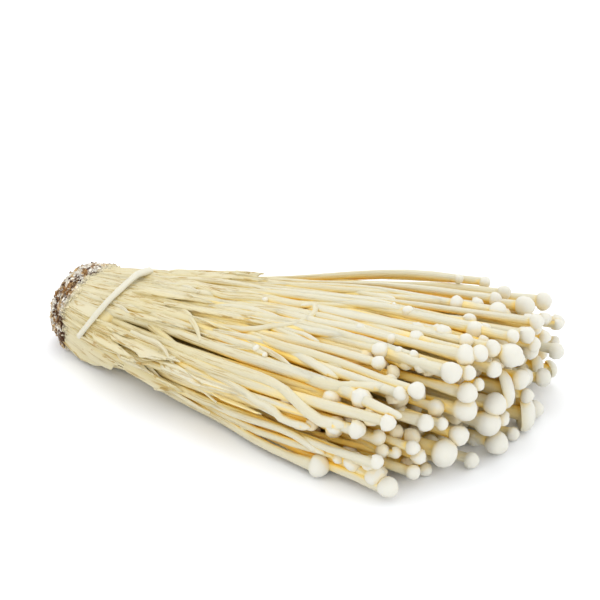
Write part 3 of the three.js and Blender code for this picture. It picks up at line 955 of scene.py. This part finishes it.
def feel_openness(pieces, lowest):
    """Keeps each vertex's openness: 1 on the outside, 0 deep in a gap, and not below a piece's lowest."""
    every = []
    faces = []
    for piece in pieces:
        first = len(every)
        every.extend(map(tuple, vertices_of(piece)))
        faces.extend([first + i for i in face.vertices] for face in piece.data.polygons)
    tree = BVHTree.FromPolygons(every, faces)
    rays = feeler_directions()
    for piece, low in zip(pieces, lowest):
        points = vertices_of(piece)
        normals = vertices_of(piece, "normal")
        seen = np.empty(len(points))
        for i, (point, normal) in enumerate(zip(points, normals)):
            seen[i] = feel(tree, Vector(point), Vector(normal), rays)
        set_values(piece, "openness", np.maximum(seen, low))


def feel(tree, point, normal, rays):
    """The openness at a point. One that lies buried in a neighbour takes a middling value."""
    turn = Vector((0, 0, 1)).rotation_difference(normal).to_matrix()
    start = point + normal * FEEL_START
    total = 0
    buried = 0
    for ray in rays:
        heading = turn @ Vector(ray)
        facing, distance = tree.ray_cast(start, heading, FEEL_REACH)[1::2]
        total += 1 if distance is None else (distance / FEEL_REACH) ** FEEL_POWER
        buried += 1 if distance is not None and facing.dot(heading) > 0 else 0
    return BURIED_OPENNESS if buried > BURIED_SHARE * len(rays) else total / len(rays)


# Materials.
def colour(red, green, blue):
    """A colour by its 0 to 255 screen values."""
    def linear(value):
        value /= 255
        return value / 12.92 if value <= 0.04045 else ((value + 0.055) / 1.055) ** 2.4

    return (linear(red), linear(green), linear(blue), 1)


class Nodes:
    """Places nodes in a tree and links them, by the names of their sockets."""

    def __init__(self, tree):
        self.tree = tree

    def add(self, kind, values=None, **settings):
        node = self.tree.nodes.new(kind)
        for key, value in settings.items():
            setattr(node, key, value)
        for key, value in (values or {}).items():
            if isinstance(value, bpy.types.NodeSocket):
                self.tree.links.new(value, node.inputs[key])
            else:
                node.inputs[key].default_value = value
        return node

    def feed(self, shader, socket, value):
        self.tree.links.new(value, shader.inputs[socket])

    def attribute(self, name, output="Fac"):
        return self.add("ShaderNodeAttribute", attribute_name=name).outputs[output]

    def mix(self, factor, first, second, blend_type="MIX"):
        node = self.add("ShaderNodeMix", data_type="RGBA", blend_type=blend_type)
        for socket, value in ((0, factor), (6, first), (7, second)):
            if isinstance(value, bpy.types.NodeSocket):
                self.tree.links.new(value, node.inputs[socket])
            else:
                node.inputs[socket].default_value = value
        return node.outputs[2]

    def math(self, operation, first, second=0.5, clamp=False):
        node = self.add("ShaderNodeMath", {0: first, 1: second}, operation=operation)
        node.use_clamp = clamp
        return node.outputs[0]

    def span(self, value, low, high, to_low=0.0, to_high=1.0):
        values = {"Value": value, "From Min": low, "From Max": high, "To Min": to_low, "To Max": to_high}
        node = self.add("ShaderNodeMapRange", values, interpolation_type="SMOOTHSTEP")
        return node.outputs["Result"]

    def noise(self, vector, scale, detail=3.0, roughness=0.55):
        values = {"Vector": vector, "Scale": scale, "Detail": detail, "Roughness": roughness}
        return self.add("ShaderNodeTexNoise", values).outputs["Fac"]


def new_material(name):
    material = bpy.data.materials.new(name)
    material.use_nodes = True
    nodes = Nodes(material.node_tree)
    shader = material.node_tree.nodes["Principled BSDF"]
    return material, nodes, shader


def lengthwise_fibre_group():
    """Fine fibres along a stem: a streak mask for colour, a height for bump, and a line mask that lies in
    the height's low grooves, for painted shade there.
    """
    tree = bpy.data.node_groups.new("lengthwise_fibre", "ShaderNodeTree")
    tree.interface.new_socket("Grain", in_out="INPUT", socket_type="NodeSocketVector")
    for name in ("Streak", "Height", "Line"):
        tree.interface.new_socket(name, in_out="OUTPUT", socket_type="NodeSocketFloat")
    nodes = Nodes(tree)
    grain = nodes.add("NodeGroupInput").outputs["Grain"]
    broad = nodes.noise(grain, 0.9, 2)
    fine = nodes.noise(grain, 2.6, 3, 0.6)
    streak = nodes.math("ADD", nodes.math("MULTIPLY", broad, 0.55), nodes.math("MULTIPLY", fine, 0.45))
    height = nodes.math("ADD", nodes.math("MULTIPLY", broad, 0.4), nodes.math("MULTIPLY", fine, 0.6))
    # Line: where both noises are low, in the grooves of the height: painted shade in the grooves.
    line = nodes.math("MULTIPLY", nodes.span(fine, 0.5, 0.37), nodes.span(broad, 0.64, 0.42))
    nodes.add("NodeGroupOutput", {"Streak": streak, "Height": height, "Line": line})
    return tree


def flesh_material(fibre):
    material, nodes, shader = new_material("mushroom_flesh")
    grain = nodes.attribute("grain", "Vector")
    fibres = nodes.add("ShaderNodeGroup", node_tree=fibre)
    nodes.feed(fibres, "Grain", grain)
    streak = fibres.outputs["Streak"]
    paleness = nodes.attribute("paleness")
    openness = nodes.attribute("openness")
    strand = nodes.attribute("strand")
    capped = nodes.attribute("capped")
    plain = nodes.math("SUBTRACT", 1.0, capped, True)
    pale = nodes.math("ADD", nodes.math("MULTIPLY", streak, 0.9), nodes.math("MULTIPLY", strand, 0.5))
    pale = nodes.math("ADD", nodes.math("MULTIPLY", paleness, 0.55), nodes.math("MULTIPLY", pale, 0.6))
    outside = nodes.mix(nodes.span(pale, 0.25, 1.0), colour(209, 197, 156), colour(210, 205, 184))
    # Painted shade in the fibre grooves: dark golden-brown lines, fading out towards the pale heads.
    painted_groove_lines = nodes.math("MULTIPLY", fibres.outputs["Line"], nodes.span(paleness, 0.7, 0.1))
    outside = nodes.mix(painted_groove_lines, outside, colour(166, 132, 58))
    skin = nodes.mix(capped, outside, colour(216, 213, 201))
    # Painted shade and glow in the gaps: where openness is low the flesh turns a saturated gold, standing
    # for light glowing through the translucent stems, and near the root a darker golden brown.
    deep = nodes.mix(nodes.span(openness, 0.15, 0.5), colour(250, 200, 66), colour(242, 212, 122))
    painted_root_gap_shade = nodes.mix(nodes.span(openness, 0.15, 0.5), colour(186, 154, 84), colour(216, 198, 140))
    inside = nodes.mix(nodes.span(paleness, 0.06, 0.36), painted_root_gap_shade, deep)
    # Past openness 0.82 the outside colour shows; below it the painted gap colour takes over, less on caps.
    shown = nodes.math("MAXIMUM", nodes.span(openness, 0.3, 0.82), nodes.math("MULTIPLY", capped, 0.75))
    flesh = nodes.mix(shown, inside, skin)
    place_on = nodes.add("ShaderNodeTexCoord").outputs["Object"]
    specks = nodes.span(nodes.noise(place_on, 260, 2), 0.68, 0.76)
    specks = nodes.math("MULTIPLY", specks, nodes.span(paleness, 0.2, 0.0, 0.0, 0.6))
    final = nodes.mix(specks, flesh, colour(168, 128, 62))
    nodes.feed(shader, "Base Color", final)
    rough = nodes.span(streak, 0.2, 0.8, 0.42, 0.6)
    nodes.feed(shader, "Roughness", rough)
    height = nodes.math("MULTIPLY", fibres.outputs["Height"], plain)
    bump = nodes.add("ShaderNodeBump", {"Strength": 0.65, "Distance": 0.0006, "Height": height})
    nodes.feed(shader, "Normal", bump.outputs["Normal"])
    looks = {"Subsurface Weight": 0.2, "Subsurface Radius": (1.0, 0.85, 0.6), "Subsurface Scale": 0.001}
    for socket, value in looks.items():
        shader.inputs[socket].default_value = value
    shader.inputs["Specular IOR Level"].default_value = 0.3
    return material


def crust_material():
    material, nodes, shader = new_material("crust")
    place_on = nodes.add("ShaderNodeTexCoord").outputs["Object"]
    lump = nodes.attribute("lump")
    rim = nodes.attribute("rim")
    values = {"Vector": place_on, "Scale": 620.0, "Randomness": 1.0}
    cells = nodes.add("ShaderNodeTexVoronoi", values, feature="DISTANCE_TO_EDGE").outputs["Distance"]
    mottle = nodes.noise(place_on, 170, 4, 0.65)
    fine = nodes.noise(place_on, 700, 3, 0.6)
    clumps = nodes.noise(place_on, 330, 3, 0.6)
    holes = nodes.noise(place_on, 460, 2, 0.5)
    tan = nodes.mix(nodes.span(mottle, 0.36, 0.6), colour(156, 112, 62), colour(216, 190, 146))
    chalk = nodes.mix(nodes.span(clumps, 0.45, 0.55), tan, colour(240, 234, 220))
    chalky = nodes.mix(nodes.span(rim, 0.7, 1.0), chalk, colour(228, 217, 182))
    # Painted shade in the pits: the crust goes dark brown where its lumps sink in, along with dark noise
    # holes of its own colour.
    pits = nodes.math("MULTIPLY", nodes.span(lump, -0.35, -0.9), nodes.span(rim, 1.05, 0.85))
    holes = nodes.math("MULTIPLY", nodes.span(holes, 0.42, 0.34), nodes.span(rim, 1.05, 0.6))
    painted_pit_shade_and_holes = nodes.mix(nodes.math("MAXIMUM", pits, holes), chalky, colour(74, 44, 22))
    seams = nodes.math("MULTIPLY", nodes.span(cells, 0.09, 0.02), nodes.span(rim, 0.95, 0.5))
    seams = nodes.math("MULTIPLY", seams, nodes.span(mottle, 0.56, 0.38))
    final = nodes.mix(seams, painted_pit_shade_and_holes, colour(122, 82, 44))
    nodes.feed(shader, "Base Color", final)
    shader.inputs["Roughness"].default_value = 0.88
    shader.inputs["Specular IOR Level"].default_value = 0.2
    height = nodes.math("ADD", nodes.math("MULTIPLY", fine, 0.6), nodes.span(cells, 0.0, 0.2))
    bump = nodes.add("ShaderNodeBump", {"Strength": 0.8, "Distance": 0.0006, "Height": height})
    nodes.feed(shader, "Normal", bump.outputs["Normal"])
    return material


def floor_material():
    material, _, shader = new_material("floor")
    shader.inputs["Base Color"].default_value = (0.93, 0.935, 0.945, 1)
    shader.inputs["Roughness"].default_value = 0.9
    return material


# Finishing.
def finish_piece(piece, material, node):
    """Moves the piece to its place in metres, smooths it, and hands it to the frame."""
    set_vertices(piece, (vertices_of(piece) + SHIFT) * MM)
    piece.data.materials.clear()
    piece.data.materials.append(material)
    select_only(piece)
    bpy.ops.object.shade_smooth_by_angle(angle=SMOOTH_ANGLE)
    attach(piece, "root")
    if node:
        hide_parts(node)


def add_area_light(name, spot, target, power, tint):
    """A round soft light that faces its target."""
    light = bpy.data.lights.new(name, "AREA")
    light.shape = "DISK"
    light.size = LIGHT_SIZE
    light.energy = power
    light.color = tint
    lamp = bpy.data.objects.new(name, light)
    bpy.context.collection.objects.link(lamp)
    lamp.location = spot
    lamp.rotation_euler = (Vector(target) - Vector(spot)).to_track_quat("-Z", "Y").to_euler()


def set_stage():
    floor = start_primitive("floor", bpy.ops.mesh.primitive_plane_add, size=FLOOR_SIZE)
    floor.data.materials.append(floor_material())
    world = bpy.data.worlds.new("studio")
    bpy.context.scene.world = world
    world.use_nodes = True
    background = world.node_tree.nodes["Background"]
    background.inputs["Color"].default_value = WORLD_COLOUR
    background.inputs["Strength"].default_value = WORLD_STRENGTH
    add_area_light("key", (-0.25, 0.35, 0.85), (0, 0, 0), KEY_POWER, (1, 0.99, 0.97))
    add_area_light("fill", (0.6, -0.7, 0.45), (0, 0, 0.02), FILL_POWER, (0.98, 0.99, 1))
    bpy.context.scene.view_settings.view_transform = "Standard"
    bpy.context.scene.view_settings.look = "None"


def set_camera():
    back = np.array([
        math.sin(CAMERA_AZIMUTH) * math.cos(CAMERA_ELEVATION),
        -math.cos(CAMERA_AZIMUTH) * math.cos(CAMERA_ELEVATION),
        math.sin(CAMERA_ELEVATION),
    ])
    target = (CAMERA_TARGET + SHIFT) * MM
    spot = target + back * CAMERA_DISTANCE * MM
    data = bpy.data.cameras.new("camera")
    data.lens = CAMERA_LENS
    data.sensor_width = SENSOR_WIDTH
    data.clip_start = 0.01
    camera = bpy.data.objects.new("camera", data)
    bpy.context.collection.objects.link(camera)
    camera.location = spot
    camera.rotation_euler = Vector(target - spot).to_track_quat("-Z", "Y").to_euler()
    bpy.context.scene.camera = camera


def main():
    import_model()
    mushrooms = grow_mushrooms()
    mass = grow_root_mass()
    flaps = grow_flaps()
    peels = grow_peels()
    across = grow_across()
    crust = grow_crust()
    fleshy = [mushrooms, mass, flaps, peels, across]
    feel_openness(fleshy, LOWEST_OPENNESS)
    flesh = flesh_material(lengthwise_fibre_group())
    finish_piece(mushrooms, flesh, "mushroom_bunch")
    for piece in (mass, flaps, peels):
        finish_piece(piece, flesh, None)
    finish_piece(across, flesh, "stem_across_base")
    finish_piece(crust, crust_material(), "root_crust")
    set_stage()
    set_camera()
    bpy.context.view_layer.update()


main()
